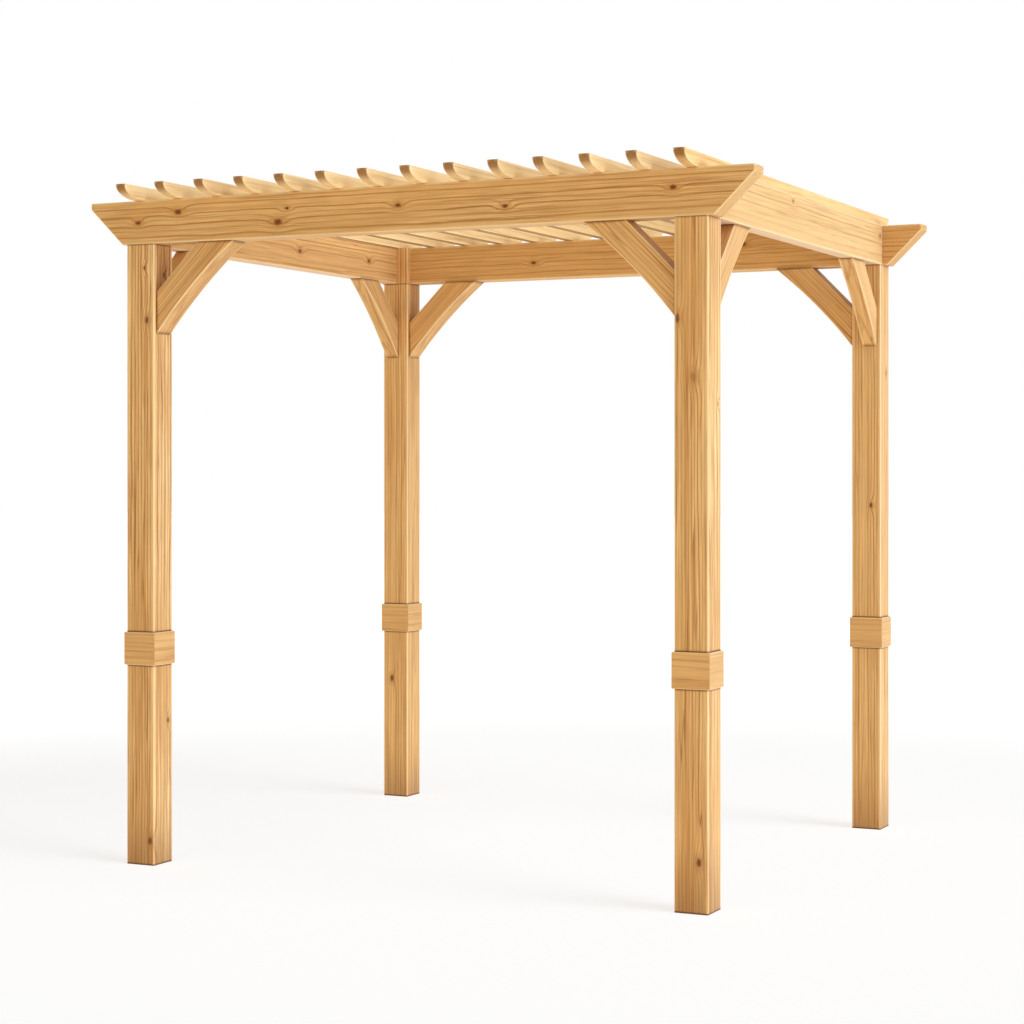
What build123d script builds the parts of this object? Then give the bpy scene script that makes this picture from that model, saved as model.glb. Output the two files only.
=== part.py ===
from build123d import *
import os

# A free-standing wooden pergola: four posts, a ring of four beams, eight knee braces and a roof of slats.
# +X runs to the right along the front beam, +Y runs to the back, +Z is up.
# The origin is on the ground, in the middle of the four posts. All lengths are in millimetres.

# Posts: the height is from the ground to the underside of the beams, the spacings are between centres.
POST_SIDE = 120.0
POST_HEIGHT = 2300.0
POST_SPACING_X = 2180.0
POST_SPACING_Y = 1980.0
POST_EASE = 4.0

# Beams: the overhang runs from the outer face of a post to the nose of the beam.
BEAM_HEIGHT = 160.0
CROSS_BEAM_THICKNESS = 90.0
SIDE_BEAM_THICKNESS = 65.0
BEAM_OVERHANG = 160.0
BEAM_NOSE = 24.0
BEAM_MITRE_RUN = 140.0
BEAM_EASE = 3.0

# Knee braces: each leg runs from the corner of post and beam, along the two pieces alike. The set-in
# is from the outer face of the post.
CROSS_BRACE_THICKNESS = 90.0
SIDE_BRACE_THICKNESS = 60.0
BRACE_SET_IN = 15.0
BRACE_LONG_LEG = 335.0
BRACE_SHORT_LEG = 180.0
BRACE_ARCH = 14.0
BRACE_EASE = 3.0

# Slats: the inset is from the outer face of a post to the outermost slat, the tail overhangs the beam
# and the nose is the flat end that its rounding leaves.
SLAT_COUNT = 14
SLAT_WIDTH = 40.0
SLAT_HEIGHT = 50.0
SLAT_TAIL = 120.0
SLAT_NOSE = 7.0
SLAT_INSET = 36.0
SLAT_EASE = 2.0

# Collars: four mitred boards around each post.
COLLAR_BOTTOM = 740.0
COLLAR_HEIGHT = 122.0
COLLAR_THICKNESS = 7.0
COLLAR_MITRE_GAP = 0.4
COLLAR_EASE = 2.0

# Cuts run this far past the piece that they cut.
CUT_OVERRUN = 10.0

# Places that follow from the sizes above.
OUTER_X = (POST_SPACING_X + POST_SIDE) / 2
OUTER_Y = (POST_SPACING_Y + POST_SIDE) / 2
INNER_X = (POST_SPACING_X - POST_SIDE) / 2
INNER_Y = (POST_SPACING_Y - POST_SIDE) / 2
BEAM_TOP = POST_HEIGHT + BEAM_HEIGHT
SIDES = {"left": -1, "right": 1}
ENDS = {"front": -1, "rear": 1}


def eased(piece, axis, size):
    """The piece with the outlines of its two faces square to the axis chamfered."""
    faces = piece.faces().sort_by(axis)
    outline = faces[0].edges() + faces[-1].edges()
    return chamfer(outline, size)


def block(low, high):
    """A box between two opposite corners."""
    spans = [b - a for a, b in zip(low, high)]
    return Pos(*low) * Box(*spans, align=(Align.MIN, Align.MIN, Align.MIN))


def cut_block(start_x, end_x, start_y, end_y):
    """A box above the beam seat of a post, between two places along X and two along Y."""
    xs = sorted((start_x, end_x))
    ys = sorted((start_y, end_y))
    return block((xs[0], ys[0], POST_HEIGHT), (xs[1], ys[1], BEAM_TOP + CUT_OVERRUN))


def post(side, end):
    """A square post with eased edges. Its top is cut away under both beams, which leaves a tongue
    in the inner corner that rises between them."""
    centre = Pos(side * POST_SPACING_X / 2, end * POST_SPACING_Y / 2, 0)
    shaft = centre * Box(POST_SIDE, POST_SIDE, BEAM_TOP, align=(Align.CENTER, Align.CENTER, Align.MIN))
    shaft = fillet(shaft.edges().filter_by(Axis.Z), POST_EASE)
    past_x = side * (OUTER_X + CUT_OVERRUN)
    past_y = end * (OUTER_Y + CUT_OVERRUN)
    inside_x = side * (INNER_X - CUT_OVERRUN)
    inside_y = end * (INNER_Y - CUT_OVERRUN)
    cross_seat = cut_block(inside_x, past_x, end * (OUTER_Y - CROSS_BEAM_THICKNESS), past_y)
    side_seat = cut_block(side * (OUTER_X - SIDE_BEAM_THICKNESS), past_x, inside_y, past_y)
    return shaft - cross_seat - side_seat


def cross_beam(end):
    """The front or rear beam: it runs over two posts and past them, with its lower corners cut off."""
    tip = OUTER_X + BEAM_OVERHANG
    foot = tip - BEAM_MITRE_RUN
    nose_bottom = BEAM_TOP - BEAM_NOSE
    outline = Polyline(
        (-foot, POST_HEIGHT),
        (foot, POST_HEIGHT),
        (tip, nose_bottom),
        (tip, BEAM_TOP),
        (-tip, BEAM_TOP),
        (-tip, nose_bottom),
        close=True,
    )
    middle_y = end * (OUTER_Y - CROSS_BEAM_THICKNESS / 2)
    plane = Plane(origin=(0, middle_y, 0), x_dir=(1, 0, 0), z_dir=(0, -1, 0))
    beam = extrude(plane * make_face(outline), amount=CROSS_BEAM_THICKNESS / 2, both=True)
    return eased(beam, Axis.Y, BEAM_EASE)


def side_beam(side):
    """A side beam: it sits on the posts and butts against the front and rear beams."""
    reach = OUTER_Y - CROSS_BEAM_THICKNESS
    xs = sorted((side * OUTER_X, side * (OUTER_X - SIDE_BEAM_THICKNESS)))
    beam = block((xs[0], -reach, POST_HEIGHT), (xs[1], reach, BEAM_TOP))
    return chamfer(beam.edges().filter_by(Axis.Y), BEAM_EASE)


def brace(corner, run, thickness):
    """A knee brace from a post's face to the beam above it. The corner is where the two meet, in the
    middle of the brace's thickness, and the run points along the beam. The underside is an arch."""
    outline = Polyline(
        (0, -BRACE_LONG_LEG),
        (0, -BRACE_SHORT_LEG),
        (BRACE_SHORT_LEG, 0),
        (BRACE_LONG_LEG, 0),
    )
    arch = SagittaArc((BRACE_LONG_LEG, 0), (0, -BRACE_LONG_LEG), -BRACE_ARCH)
    across = Vector(*run).cross(Vector(0, 0, 1))
    plane = Plane(origin=corner, x_dir=run, z_dir=across)
    profile = plane * make_face(outline.edges() + arch.edges())
    piece = extrude(profile, amount=thickness / 2, both=True)
    along = Axis(origin=corner, direction=run)
    faces = piece.faces().sort_by(Axis(origin=corner, direction=across))
    slopes = faces[0].edges() + faces[-1].edges()
    slopes = slopes.filter_by(Axis.Z, reverse=True).filter_by(along, reverse=True)
    return chamfer(slopes, BRACE_EASE)


def brace_pair(side, end):
    """The two braces of one post: one to the front or rear beam, one to the side beam."""
    cross_y = end * (OUTER_Y - BRACE_SET_IN - CROSS_BRACE_THICKNESS / 2)
    side_x = side * (OUTER_X - BRACE_SET_IN - SIDE_BRACE_THICKNESS / 2)
    to_cross = brace((side * INNER_X, cross_y, POST_HEIGHT), (-side, 0, 0), CROSS_BRACE_THICKNESS)
    to_side = brace((side_x, end * INNER_Y, POST_HEIGHT), (0, -end, 0), SIDE_BRACE_THICKNESS)
    return to_cross, to_side


def slat(centre_x):
    """A roof slat from front to back, on both cross beams. Each tail is rounded off below as a quarter
    of an ellipse that starts at the face of the beam and ends at the nose."""
    tip = OUTER_Y + SLAT_TAIL
    top = BEAM_TOP + SLAT_HEIGHT
    nose_bottom = top - SLAT_NOSE
    drop = SLAT_HEIGHT - SLAT_NOSE
    lines = Line((OUTER_Y, BEAM_TOP), (-OUTER_Y, BEAM_TOP)).edges()
    lines += Polyline((-tip, nose_bottom), (-tip, top), (tip, top), (tip, nose_bottom)).edges()
    lines += EllipticalCenterArc((OUTER_Y, nose_bottom), SLAT_TAIL, drop, -90, arc_size=90).edges()
    lines += EllipticalCenterArc((-OUTER_Y, nose_bottom), SLAT_TAIL, drop, 180, arc_size=90).edges()
    plane = Plane(origin=(centre_x, 0, 0), x_dir=(0, 1, 0), z_dir=(1, 0, 0))
    piece = extrude(plane * make_face(lines), amount=SLAT_WIDTH / 2, both=True)
    return eased(piece, Axis.X, SLAT_EASE)


def collar(side, end):
    """Four mitred boards around a post, with a hairline gap at each mitre."""
    half_post = POST_SIDE / 2
    half_outer = half_post + COLLAR_THICKNESS
    gap = COLLAR_MITRE_GAP / 2
    outline = Polyline(
        (-half_post + gap, half_post),
        (half_post - gap, half_post),
        (half_outer - gap, half_outer),
        (-half_outer + gap, half_outer),
        close=True,
    )
    board = extrude(make_face(outline), amount=COLLAR_HEIGHT)
    outer_face = board.faces().sort_by(Axis.Y)[-1]
    board = chamfer(outer_face.edges().filter_by(Axis.X), COLLAR_EASE)
    place = Pos(side * POST_SPACING_X / 2, end * POST_SPACING_Y / 2, COLLAR_BOTTOM)
    return Compound([place * Rot(0, 0, turn) * board for turn in (0, 90, 180, 270)])


def slat_centres():
    """The places of the slats along X, evenly spread."""
    outermost = OUTER_X - SLAT_INSET - SLAT_WIDTH / 2
    pitch = 2 * outermost / (SLAT_COUNT - 1)
    return [-outermost + pitch * index for index in range(SLAT_COUNT)]


def all_pieces():
    """Every piece by its node's name."""
    pieces = {}
    for end_name, end in ENDS.items():
        pieces[f"{end_name}_beam"] = cross_beam(end)
        for side_name, side in SIDES.items():
            corner_name = f"{end_name}_{side_name}"
            to_cross, to_side = brace_pair(side, end)
            pieces[f"{corner_name}_post"] = post(side, end)
            pieces[f"{corner_name}_collar"] = collar(side, end)
            pieces[f"{corner_name}_{end_name}_beam_brace"] = to_cross
            pieces[f"{corner_name}_side_beam_brace"] = to_side
    for side_name, side in SIDES.items():
        pieces[f"{side_name}_side_beam"] = side_beam(side)
    for number, centre_x in enumerate(slat_centres(), start=1):
        pieces[f"slat_{number:02d}"] = slat(centre_x)
    return pieces


os.makedirs("parts", exist_ok=True)
for name, piece in all_pieces().items():
    export_step(piece, f"parts/{name}.step")
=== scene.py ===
import math

import bpy
import numpy as np
from bpy.props import FloatProperty, FloatVectorProperty, PointerProperty
from bpy.types import Operator, Panel, PropertyGroup
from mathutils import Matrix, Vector


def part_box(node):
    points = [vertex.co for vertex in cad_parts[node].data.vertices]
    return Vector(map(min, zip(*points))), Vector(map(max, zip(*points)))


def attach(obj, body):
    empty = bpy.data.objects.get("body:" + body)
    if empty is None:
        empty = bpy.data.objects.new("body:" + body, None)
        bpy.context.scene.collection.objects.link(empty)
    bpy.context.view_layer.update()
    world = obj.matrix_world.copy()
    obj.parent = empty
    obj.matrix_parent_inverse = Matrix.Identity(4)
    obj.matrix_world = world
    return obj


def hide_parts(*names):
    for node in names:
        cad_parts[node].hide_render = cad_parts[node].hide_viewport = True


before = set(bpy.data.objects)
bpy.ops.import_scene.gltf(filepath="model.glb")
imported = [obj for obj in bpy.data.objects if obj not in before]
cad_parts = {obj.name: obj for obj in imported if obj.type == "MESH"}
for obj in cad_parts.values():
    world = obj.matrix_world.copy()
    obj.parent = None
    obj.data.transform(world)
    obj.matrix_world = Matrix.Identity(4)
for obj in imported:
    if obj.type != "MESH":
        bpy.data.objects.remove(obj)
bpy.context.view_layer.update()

bl_info = {
    "name": "Wooden Pergola",
    "version": (1, 0, 0),
    "blender": (4, 5, 0),
    "location": "View3D > Sidebar > Pergola",
    "description": "Dresses the pergola's frame with planed, oiled timbers and sets up a pale studio",
    "category": "Add Mesh",
}

CORNERS = ("front_left", "front_right", "rear_left", "rear_right")
SLAT_NODES = sorted(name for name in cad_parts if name.startswith("slat_"))
X_AXIS = np.array([1.0, 0.0, 0.0])
Y_AXIS = np.array([0.0, 1.0, 0.0])
Z_AXIS = np.array([0.0, 0.0, 1.0])

# Fineness of the surfaces: flat bands beside rounded edges, eased ends, the distance between rows of
# points, and counts of steps.
FLAT_BAND = 0.006
SLAT_FLAT_BAND = 0.0003
BAND_SHARE = 0.45
END_EASE = 0.002
TONGUE_EDGE = 0.0015
TONGUE_TOP_EASE = 0.001
LEAST_RADIUS = 0.0002
SAME_PLACE = 1e-6
LEAST_AREA = 1e-12
POST_PITCH = 0.25
BEAM_PITCH = 0.2
SLAT_PITCH = 0.25
CORNER_STEPS = 5
END_STEPS = 3
TAIL_STEPS = 18
BRACE_STEPS = 24
BRACE_END_SHARE = 0.006
COLLAR_SHARES = (-1.0, -0.9, -0.5, 0.0, 0.5, 0.9, 1.0)
SHARP_ANGLE = math.radians(32)

# Joints: the hairline beside a tongue, how far a joint's dark line fades out, the height of the dark line at
# a post's foot, and how dark each kind is. These dark lines are painted contact shade where pieces meet, and
# the darker undersides of the slats are painted shade. The wear is that at the sides of a rounded edge; the
# paler edges it makes are partly worn wood and partly a painted highlight.
SHADOW_LINE = 0.0003
JOINT_SHADE = 0.008
SHADED_FOOT_HEIGHT = 0.003
FOOT_PAINTED_SHADE = 1.0
COLLAR_PAINTED_SHADE = 0.9
SEAT_PAINTED_SHADE = 0.6
BUTT_PAINTED_SHADE = 0.8
UNDERSIDE_PAINTED_SHADE = 0.46
EDGE_WEAR_AND_HIGHLIGHT = 0.60

# Where each timber lies in its log: the first seed of its kind, how far along the log it may start, and
# how far the heart is from its middle, across its face and through it, fixed or between two limits.
LOG_LENGTH = 40
POST_SEED = 11
CROSS_BEAM_SEED = 31
SIDE_BEAM_SEED = 41
BRACE_SEED = 51
SLAT_SEED = 71
COLLAR_SEED = 101
POST_HEART = ((0.08, 0.16), (0.05, 0.14))
CROSS_BEAM_HEART = (0.13, 0.10)
SIDE_BEAM_HEART = (0.09, 0.10)
BRACE_HEART = (0.02, 0.06)
SLAT_HEART = ((-0.05, 0.05), (0.03, 0.12))
COLLAR_HEART = ((0.01, 0.06), (0.04, 0.10))

# The look of each timber: how strong its figure is, and how pale it is. Above zero it goes towards
# sapwood, below zero towards the warm streaks.
LOOKS = {
    "front_left_post": (1.25, 0.2),
    "front_right_post": (1.15, -0.1),
    "rear_left_post": (0.8, -0.25),
    "rear_right_post": (0.8, -0.25),
    "front_beam": (0.78, -0.22),
    # The rear beam's look is darkened for the shade of the roof over it: painted shade.
    "rear_beam": (0.6, -0.6),
    "left_side_beam": (0.75, -0.5),
    "right_side_beam": (0.5, -0.32),
    "brace": (0.8, -0.45),
    # The slats are paled, partly as painted light against the shade between them; the right outer slat is the
    # same wood, given a look of its own for its lit side.
    "slat": (0.25, 0.85),
    "right outer slat": (0.4, 0.1),
    "collar": (0.45, -0.5),
}
CROSS_BEAM_GLOSS = 0.4
SIDE_CUT_TINT = 0.15

# Knots by node: the face, the distance from the node's middle along that face, the height above the
# node's underside, the radius and, where it is faint, its depth of colour.
KNOTS = {
    "front_left_post": (
        ("front", 0.0184, 2.2106, 0.007), ("front", 0.0295, 2.0178, 0.011),
        ("front", 0.0429, 0.0913, 0.012), ("right", 0.0319, 0.5304, 0.009),
        ("right", 0.005, 2.188, 0.009), ("left", 0.0, 1.4, 0.013), ("rear", 0.0, 0.86, 0.01)),
    "front_right_post": (
        ("front", -0.0498, 1.9643, 0.012), ("front", 0.0276, 0.1708, 0.012),
        ("right", 0.0315, 1.6814, 0.006), ("front", 0.0066, 1.7685, 0.014, 0.35),
        ("left", -0.01, 1.22, 0.012), ("rear", 0.01, 0.48, 0.01)),
    "rear_left_post": (
        ("front", -0.0182, 0.5291, 0.012), ("right", -0.028, 2.124, 0.01),
        ("left", -0.01, 1.75, 0.011), ("rear", 0.02, 1.15, 0.013)),
    "rear_right_post": (
        ("front", 0.02, 1.32, 0.009), ("rear", -0.02, 0.62, 0.012), ("right", 0.02, 1.86, 0.01)),
    "front_beam": (
        ("front", -1.1005, 0.0786, 0.01), ("front", -0.9237, 0.1107, 0.013),
        ("front", -0.4955, 0.0537, 0.015), ("front", -0.4579, 0.1022, 0.007),
        ("front", -0.0059, 0.0901, 0.01), ("front", 0.4098, 0.0658, 0.01),
        ("front", 1.026, 0.0976, 0.011), ("rear", 0.62, 0.07, 0.012), ("rear", -0.34, 0.11, 0.012)),
    "rear_beam": (
        ("front", -0.42, 0.07, 0.01), ("front", 0.55, 0.11, 0.011), ("rear", -0.85, 0.1, 0.013),
        ("rear", 0.12, 0.06, 0.012), ("rear", 0.93, 0.09, 0.01)),
    "left_side_beam": (
        ("right", 0.0892, 0.0734, 0.012), ("right", 0.6767, 0.0807, 0.011),
        ("left", -0.45, 0.08, 0.013), ("left", 0.38, 0.11, 0.011)),
    "right_side_beam": (
        ("right", -0.18, 0.138, 0.007), ("right", 0.9228, 0.1139, 0.01), ("left", 0.35, 0.07, 0.012)),
}
FACES = {"left": (0, 0), "right": (0, 1), "front": (1, 0), "rear": (1, 1)}
KNOT_STRETCH = 0.62
FULL_DEPTH = 1.0

# Noise of the grain: waves a metre along the timber, across its face and through it, then the detail
# and the roughness.
RING_WANDER = ((0.9, 5.0, 5.0), 2.0, 0.45)
RING_WOBBLE = ((5.0, 34.0, 34.0), 3.0, 0.55)
RING_WOBBLE_REACH = 0.006
FIBRES = {
    "Fine": ((5.0, 180.0, 180.0), 3.0, 0.6),
    "Streak": ((1.3, 75.0, 75.0), 4.0, 0.6),
    "Cloud": ((1.6, 7.0, 7.0), 3.0, 0.55),
}
DARK_LINES = ((0.8, 34.0, 34.0), 2.0, 0.5)
DARK_LINE_FADE = ((2.6, 30.0, 30.0), 2.0, 0.5)
KNOT_EDGE = ((150.0, 150.0, 150.0), 2.0, 0.5)

# Lamps: the side that each shines from, its spread in degrees and its colour. The low panel has a place,
# an aim, a width, a height and a colour.
COOL_LIGHT = (0.84, 1.05, 1.54)
HIGH_LAMP = ((6.0, -0.7, 5.0), 36, (0.91, 1.0, 1.10))
SIDE_LAMP = ((8.0, -0.8, 1.15), 16, COOL_LIGHT)
FRONT_LAMP = ((-2.0, -8.5, 1.5), 60, (1.0, 0.71, 0.32))
LOW_PANEL = ((14.0, -0.9, 0.7), (-1.0, 0.0, 1.9), 6.0, 1.2, COOL_LIGHT)

# The floor reaches far past the camera and throws up a warm glow. The camera sees the lamps' light on it
# over a lift, which has two distances from the middle and its level at each.
FLOOR_REACH = 60.0
FLOOR_POINTS = 13
FLOOR_GLOW_COLOUR = (0.96, 0.95, 0.89, 1.0)
FLOOR_SEEN_COLOUR = (0.352, 0.338, 0.312, 1.0)
FLOOR_LIFT = (3.0, 9.0, 0.765, 1.0)
WHITE = (1.0, 1.0, 1.0, 1.0)
SENSOR_WIDTH = 36.0
VIEW_DEPTH = 200.0

# Kinds of sockets on the shared effects, and the property behind each colour of the finish.
VECTOR = "NodeSocketVector"
VALUE = "NodeSocketFloat"
COLOUR = "NodeSocketColor"
WOOD_COLOURS = {
    "Early Wood": "early_wood",
    "Late Wood": "late_wood",
    "Warm Streak": "streak",
    "Dark Line": "dark_line",
    "Knot Wood": "knot",
    "End Tint": "end_grain",
    "Sapwood": "sapwood",
}


def length(name, description, default, low, high):
    """A property that holds a length."""
    return FloatProperty(
        name=name, description=description, default=default, min=low, max=high, unit="LENGTH")


def level(name, description, default, high=2.0):
    """A property that holds the level of a light, where 1 shows a colour as written."""
    return FloatProperty(name=name, description=description, default=default, min=0.0, max=high)


def colour(name, description, default):
    """A property that holds a colour in linear light."""
    return FloatVectorProperty(
        name=name, description=description, default=default, size=3, min=0.0, max=1.0, subtype="COLOR")


def from_srgb(red, green, blue):
    """A colour as a screen shows it, from 0 to 255, turned into linear light."""
    shown = np.array([red, green, blue]) / 255
    linear = np.where(shown <= 0.04045, shown / 12.92, ((shown + 0.055) / 1.055) ** 2.4)
    return tuple(float(value) for value in linear)


class PergolaSizes(PropertyGroup):
    """Sizes of the cuts and eased edges that the frame's boxes don't give."""

    post_ease: length("Post edge", "Radius of a post's long edges", 0.004, 0.0005, 0.015)
    beam_ease: length("Beam edge", "Radius of a beam's edges", 0.003, 0.0005, 0.012)
    beam_nose: length("Beam nose", "Upright end that a beam's mitre leaves", 0.024, 0.010, 0.100)
    beam_mitre: length(
        "Beam mitre", "Length of a beam's cut-off lower corner along the beam", 0.140, 0.020, 0.155)
    brace_ease: length("Brace edge", "Radius of a brace's long edges", 0.003, 0.0005, 0.012)
    brace_short_leg: length(
        "Brace upper edge", "Distance from the corner to a brace's upper edge", 0.180, 0.100, 0.260)
    brace_arch: length("Brace arch", "Rise of the arch under a brace", 0.014, 0.0, 0.050)
    slat_ease: length("Slat edge", "Radius of a slat's long edges", 0.002, 0.0005, 0.006)
    slat_nose: length("Slat nose", "Flat end that the rounding of a tail leaves", 0.007, 0.005, 0.040)
    collar_ease: length("Collar edge", "Radius of a collar board's long edges", 0.002, 0.0005, 0.003)
    collar_gap: length("Collar mitre gap", "Hairline between two boards of a collar", 0.0004, 0.0, 0.002)


class PergolaWood(PropertyGroup):
    """Colours and grain of the oiled softwood."""

    early_wood: colour("Early wood", "Pale part of a growth ring", from_srgb(235, 191, 125))
    sapwood: colour("Sapwood", "Palest wood, from the outside of the log", from_srgb(251, 217, 159))
    late_wood: colour("Late wood", "Dark line of a growth ring", from_srgb(183, 122, 58))
    streak: colour("Streak", "Warm streaks along the grain", from_srgb(205, 150, 84))
    dark_line: colour("Dark line", "Thin dark lines along the grain", from_srgb(150, 86, 30))
    knot: colour("Knot", "Core of a knot", from_srgb(116, 58, 12))
    end_grain: colour("End grain", "Tint of wood that is cut across the grain", from_srgb(168, 144, 128))
    ring_spacing: length("Ring spacing", "Width of a growth ring", 0.0118, 0.002, 0.030)
    waviness: length("Waviness", "How far the rings wander along a timber", 0.020, 0.0, 0.100)
    relief: length("Relief", "Depth of the grain in the planed surface", 0.0006, 0.0, 0.003)


class PergolaStage(PropertyGroup):
    """Camera, floor and lamps."""

    lens: FloatProperty(
        name="Lens", description="Focal length on a 36 mm sensor",
        default=80.05, min=20.0, max=300.0, unit="CAMERA")
    camera_place: FloatVectorProperty(
        name="Camera place", description="Where the camera stands",
        default=(3.792, -8.067, 1.4592), size=3, subtype="TRANSLATION")
    camera_turn: FloatProperty(
        name="Camera turn", description="Turn of the level camera about the upright",
        default=math.radians(25.558), subtype="ANGLE")
    camera_drop: FloatProperty(
        name="Lens shift", description="Shift of the lens, as a share of the frame's width",
        default=-41 / 1024)
    floor_colour: colour("Floor", "Colour of the floor", (0.78, 0.74, 0.66))
    high_level: level("High lamp", "Level of the soft lamp high on the right", 0.49)
    side_level: level("Side lamp", "Level of the soft lamp that shines in from the right", 0.208)
    low_level: level("Low panel", "Level of the soft panel low on the right", 0.20)
    front_level: level("Front lamp", "Level of the warm lamp in front", 0.235)
    floor_glow: level("Floor glow", "Level of the light that the floor throws up", 0.62, 1.0)
    ambient: level("Ambient", "Level of the plain light from all around", 0.22, 1.0)


def limits(node):
    """The lowest and highest corner of a node as arrays."""
    low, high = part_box(node)
    return np.array(low), np.array(high)


def spans(node):
    """The length of a node's box in x, y and z."""
    low, high = limits(node)
    return high - low


def even_rows(low, high, pitch):
    """Places from low to high, evenly spread at about the pitch."""
    return np.linspace(low, high, max(2, int(round((high - low) / pitch)) + 1))


def steady(*values):
    """A profile that is the same at every place along a timber."""
    return lambda places: values


def rounded_loops(middle_a, middle_b, width, height, radius):
    """Rows of rounded rectangles in two directions a and b. A point is the centre of its corner, which
    is half a side less the radius from the middle, plus the radius times the cosine and sine of an angle
    that turns once around. Beside each corner stands one more point on each flat, a band's width away.
    The middle, sides and radius are one value or one a row. Returns a, b and the wear, which is highest in
    the middle of a corner and zero on the flats; the paler edge it gives is partly worn wood and partly a
    painted highlight."""
    rows = np.broadcast_arrays(middle_a, middle_b, width, height, radius)
    middle_a, middle_b, width, height, radius = [row[:, None] for row in rows]
    turn = np.concatenate([[0.0], np.linspace(0.0, 1.0, CORNER_STEPS + 1), [1.0]]) * math.pi / 2
    slide = np.concatenate([[-1.0], np.zeros(CORNER_STEPS + 1), [1.0]])
    crest = np.sin(np.linspace(0.0, math.pi, CORNER_STEPS + 1))
    wear_highlight_shade = np.concatenate([[0.0], EDGE_WEAR_AND_HIGHLIGHT + (1 - EDGE_WEAR_AND_HIGHLIGHT) * crest, [0.0]])
    quarter = np.repeat(np.arange(4), turn.size)
    angle = np.tile(turn, 4) + quarter * math.pi / 2
    slide = np.tile(slide, 4)
    side_a = np.array([1.0, -1.0, -1.0, 1.0])[quarter]
    side_b = np.array([1.0, 1.0, -1.0, -1.0])[quarter]
    room = np.minimum(width, height) / 2 - radius
    step = slide * np.minimum(FLAT_BAND, BAND_SHARE * room)
    a = middle_a + side_a * (width / 2 - radius) + radius * np.cos(angle) - step * np.sin(angle)
    b = middle_b + side_b * (height / 2 - radius) + radius * np.sin(angle) + step * np.cos(angle)
    return a, b, np.tile(wear_highlight_shade, 4)


def eased_rows(along, profile, radius, ease_start, ease_end, band=FLAT_BAND):
    """Rows of a timber with both end edges rounded. The profile is a function that gives the middle in a
    and b, width and height for places along the timber. Within the ease, the place moves in by the ease
    less its cosine, and each side shrinks by twice the ease less its sine. A row a band's width inside
    each end keeps the flats flat."""
    low, high = along[0], along[-1]
    phase = np.linspace(0.0, math.pi / 2, END_STEPS + 1)
    head = low + ease_start * (1 - np.cos(phase))
    tail = (high - ease_end * (1 - np.cos(phase)))[::-1]
    inner = along[(along > head[-1] + SAME_PLACE) & (along < tail[0] - SAME_PLACE)]
    inner = np.unique(np.concatenate([inner, [head[-1] + band, tail[0] - band]]))
    places = np.concatenate([head, inner, tail])
    shrink = np.concatenate([
        ease_start * (1 - np.sin(phase)),
        np.zeros(inner.size),
        (ease_end * (1 - np.sin(phase)))[::-1],
    ])
    middle_a, middle_b, width, height, _ = np.broadcast_arrays(*profile(places), places)
    radius = np.maximum(radius - shrink, LEAST_RADIUS)
    return places, middle_a, middle_b, width - 2 * shrink, height - 2 * shrink, radius


def closed_loft(loops, wear_highlight_shade):
    """A closed solid from rows of loops: four-sided faces between neighbouring rows, and a fan of triangles
    from the middle of the first and of the last loop. Returns points, faces and edge wear, which also carries
    painted highlight and painted shade."""
    rows, columns, _ = loops.shape
    index = np.arange(rows * columns).reshape(rows, columns)
    following = np.roll(index, -1, axis=1)
    quads = np.stack([index[:-1], following[:-1], following[1:], index[1:]], axis=-1).reshape(-1, 4)
    first = np.full(columns, rows * columns)
    last = first + 1
    start_cap = np.stack([first, following[0], index[0]], axis=-1)
    end_cap = np.stack([last, index[-1], following[-1]], axis=-1)
    middles = np.stack([loops[0].mean(axis=0), loops[-1].mean(axis=0)])
    points = np.concatenate([loops.reshape(-1, 3), middles])
    wear_and_painted_light = np.concatenate([np.broadcast_to(wear_highlight_shade, (rows, columns)).ravel(), [0.0, 0.0]])
    return points, quads, np.concatenate([start_cap, end_cap]), wear_and_painted_light


def with_painted_joint_shade(wear_highlight_shade, places, joints):
    """Edge wear row by row, turned dark where another piece meets the timber, as painted contact shade. A
    joint is the two places it lies between and its darkness: the wear falls to minus the darkness there, and
    is back to its own value a finger's width away."""
    dark = np.zeros(places.size)
    for low, high, darkness in joints:
        away = np.maximum(np.maximum(low - places, places - high), 0.0)
        dark = np.maximum(dark, darkness * np.clip(1 - away / JOINT_SHADE, 0.0, 1.0))
    dark = dark[:, None]
    return wear_highlight_shade * (1 - dark) - dark


def face_normals(points, faces):
    """Unit normals of faces: the cross product of the two diagonals, or of two sides of a triangle."""
    corner = points[faces]
    normal = np.cross(corner[:, 2] - corner[:, 0], corner[:, -1] - corner[:, 1])
    return normal / np.maximum(np.linalg.norm(normal, axis=1, keepdims=True), LEAST_AREA)


def timber(loops, wear_highlight_shade, axis, face, seed, heart):
    """One timber's arrays: its loft, the grain's coordinates and the share of end grain on each face.
    The grain's coordinates are the distances from the timber's middle along the grain, across its face
    and through it, moved to a place in the log: the seed picks the length along it, and the heart is so
    far off."""
    points, quads, caps, wear_and_painted_light = closed_loft(loops, wear_highlight_shade)
    chance = np.random.default_rng(seed)
    axis = axis / np.linalg.norm(axis)
    through = np.cross(axis, face)
    middle = (points.min(axis=0) + points.max(axis=0)) / 2
    shift = np.array([chance.uniform(-LOG_LENGTH, LOG_LENGTH), *heart])
    grain = (points - middle) @ np.stack([axis, face, through], axis=-1) + shift
    end = np.concatenate([np.abs(face_normals(points, faces) @ axis) for faces in (quads, caps)])
    tone = np.full(len(points), chance.uniform(-1, 1))
    return dict(points=points, quads=quads, caps=caps, wear_and_painted_light=wear_and_painted_light, grain=grain, end=end, tone=tone)


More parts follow.
